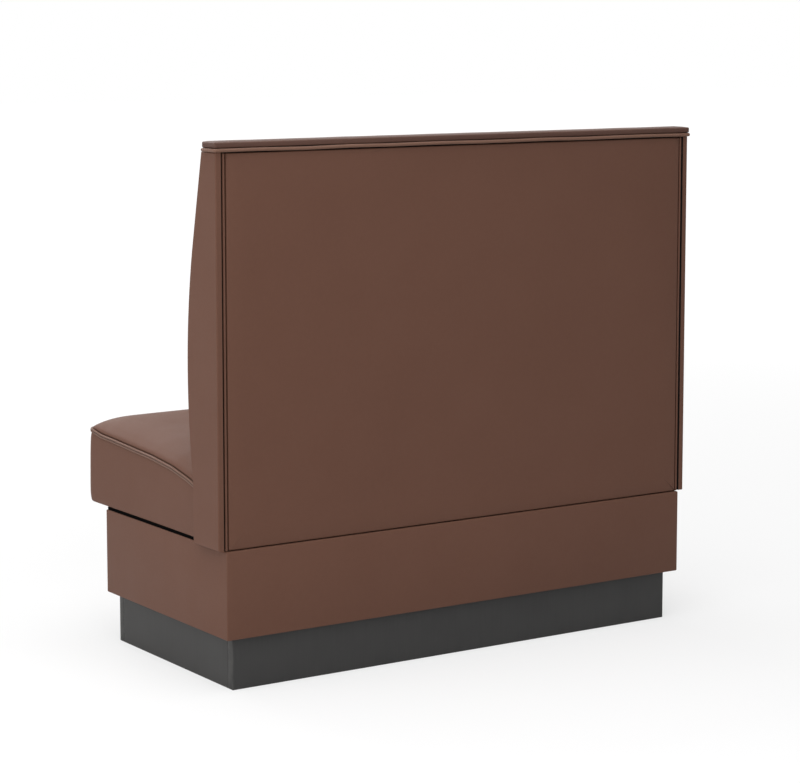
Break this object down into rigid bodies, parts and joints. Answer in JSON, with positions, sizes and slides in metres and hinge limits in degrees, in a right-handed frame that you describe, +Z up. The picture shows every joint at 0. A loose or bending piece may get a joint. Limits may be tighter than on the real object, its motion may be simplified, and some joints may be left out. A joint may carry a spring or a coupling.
{
  "type": "restaurant booth seating",
  "caption": "Single-sided upholstered restaurant booth with a padded back between end panels, a loose welted seat cushion, a vinyl-covered box base and a recessed toe kick.",
  "frame": {"origin": "centre of the bounding box in X and Y, on the floor", "axes": "+X across the booth towards the sitter's left, -Y the way the sitter faces, +Z up"},
  "size_m": [1.177, 0.602, 1.08],
  "materials": {
    "brown_vinyl": "brown grained upholstery vinyl, low satin sheen",
    "welt_vinyl": "brown vinyl over cord, a shade lighter, with dark stitches on the seat",
    "kick_paint": "plywood painted black, matt, faint vertical grain",
    "plywood": "raw birch plywood",
    "softwood": "planed pine",
    "black_rubber": "matt black strip",
    "zinc_steel": "zinc-plated steel",
    "felt": "grey needled felt",
    "foam": "cream polyurethane foam",
    "cambric": "black spun dust cover cloth"
  },
  "bodies": {
    "root": {"back_bottom_rail": "softwood", "back_lag_bolts": "zinc_steel", "back_rib_1": "plywood", "back_rib_2": "plywood", "back_rib_3": "plywood", "back_top_rail": "softwood", "back_tuck_rail": "softwood", "base_back_board": "plywood", "base_back_cleat": "softwood", "base_bottom_board": "plywood", "base_centre_divider": "plywood", "base_front_board": "plywood", "base_left_board": "plywood", "base_right_board": "plywood", "base_vinyl_wrap": "brown_vinyl", "cap_board": "plywood", "cap_vinyl": "brown_vinyl", "cap_welt": "welt_vinyl", "end_board_left": "plywood", "end_board_right": "plywood", "end_vinyl_left": "brown_vinyl", "end_vinyl_right": "brown_vinyl", "inside_back_board": "plywood", "inside_back_cover": "brown_vinyl", "inside_back_foam": "foam", "kick_back_board": "kick_paint", "kick_centre_brace": "softwood", "kick_corner_blocks": "softwood", "kick_front_board": "kick_paint", "kick_left_board": "kick_paint", "kick_right_board": "kick_paint", "kick_screws": "zinc_steel", "outside_back_board": "plywood", "outside_back_vinyl": "brown_vinyl", "outside_piping_left": "brown_vinyl", "outside_piping_right": "brown_vinyl", "seat_rest_strip_back": "black_rubber", "seat_rest_strip_front": "black_rubber", "seat_rest_strip_left": "black_rubber", "seat_rest_strip_right": "black_rubber"},
    "seat": {"seat_back_rail": "softwood", "seat_centre_brace": "softwood", "seat_corner_blocks": "softwood", "seat_cover": "brown_vinyl", "seat_dust_cover": "cambric", "seat_foam": "foam", "seat_front_rail": "softwood", "seat_left_rail": "softwood", "seat_right_rail": "softwood", "seat_spring_1": "zinc_steel", "seat_spring_2": "zinc_steel", "seat_spring_3": "zinc_steel", "seat_spring_4": "zinc_steel", "seat_spring_5": "zinc_steel", "seat_spring_6": "zinc_steel", "seat_spring_7": "zinc_steel", "seat_welt": "welt_vinyl", "spring_clips": "zinc_steel", "spring_pad": "felt"}
  },
  "joints": [
    {"name": "seat_slide", "type": "slide", "parent": "root", "child": "seat", "axis": [0, -1, 0], "range_m": [0, 0.2]}
  ]
}
